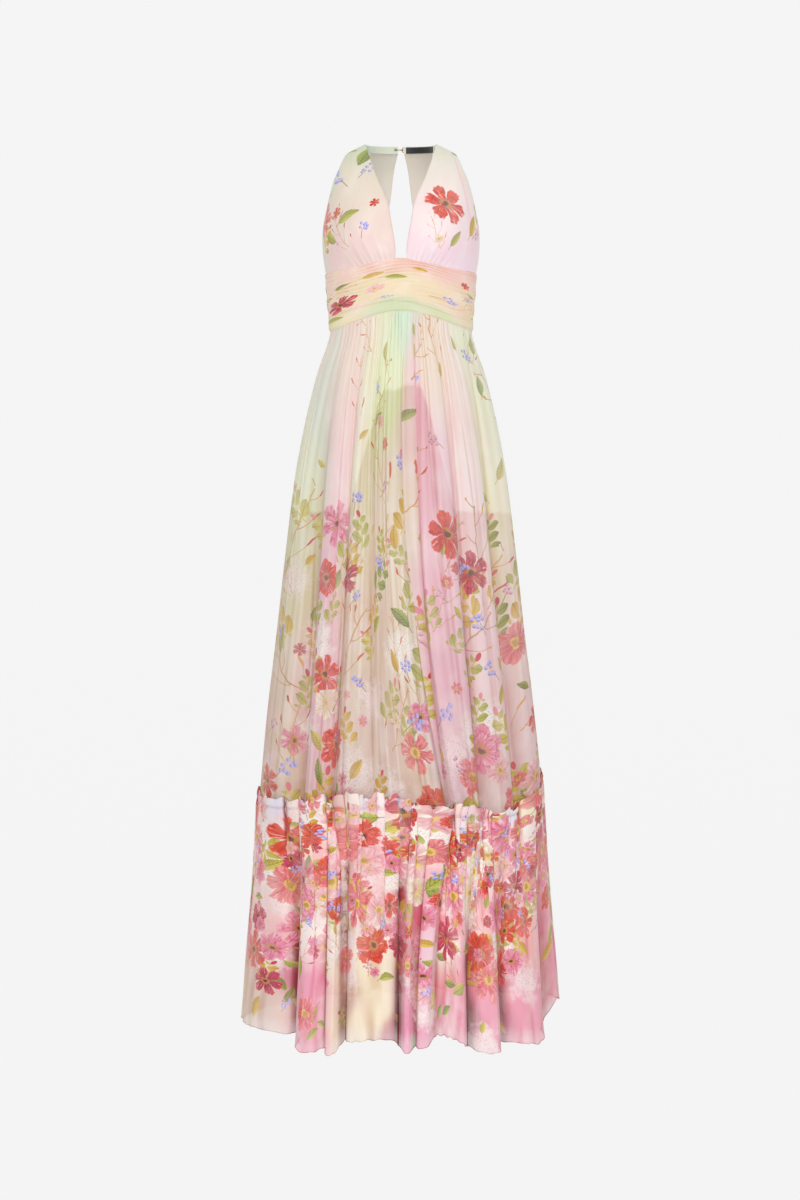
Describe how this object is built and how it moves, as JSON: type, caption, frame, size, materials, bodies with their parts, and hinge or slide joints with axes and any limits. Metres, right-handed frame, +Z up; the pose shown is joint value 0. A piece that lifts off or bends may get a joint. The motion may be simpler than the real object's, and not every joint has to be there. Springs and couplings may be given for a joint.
{
  "type": "maxi dress",
  "caption": "Sleeveless halter-neck maxi dress with a V front, keyhole back, draped waistband, gathered skirt and a deep gathered flounce at the hem.",
  "frame": {"origin": "middle of the neck opening, at the height of the shoulders, where the wearer's neck and shoulders hold the dress", "axes": "+Z up, out of the neck opening; -Y the way the dress faces; +X the wearer's left"},
  "size_m": [0.5411, 0.5231, 1.4926],
  "materials": {
    "printed_chiffon": "sheer matt chiffon printed with flowers on washes of pink, cream and mint",
    "border_chiffon": "sheer matt chiffon with a dense border print of flowers in reds and pinks",
    "draped_chiffon": "doubled chiffon laid in fine folds, printed in washes of peach, cream and mint",
    "lining_cloth": "plain light lining with a soft sheen",
    "label_ribbon": "plain black woven ribbon",
    "gold_wire": "polished gold-coloured wire"
  },
  "bodies": {
    "root": {"bodice_front_left": "printed_chiffon", "bodice_front_right": "printed_chiffon", "bodice_back_left": "printed_chiffon", "bodice_back_right": "printed_chiffon", "neck_band_left": "draped_chiffon", "neck_band_right": "draped_chiffon", "neck_label": "label_ribbon", "neck_hook": "gold_wire", "neck_eye": "gold_wire", "waistband_front": "draped_chiffon", "waistband_back": "draped_chiffon", "lining_front": "lining_cloth", "lining_back": "lining_cloth", "skirt_front": "printed_chiffon", "skirt_back": "printed_chiffon", "flounce_front": "border_chiffon", "flounce_back": "border_chiffon"}
  },
  "joints": []
}
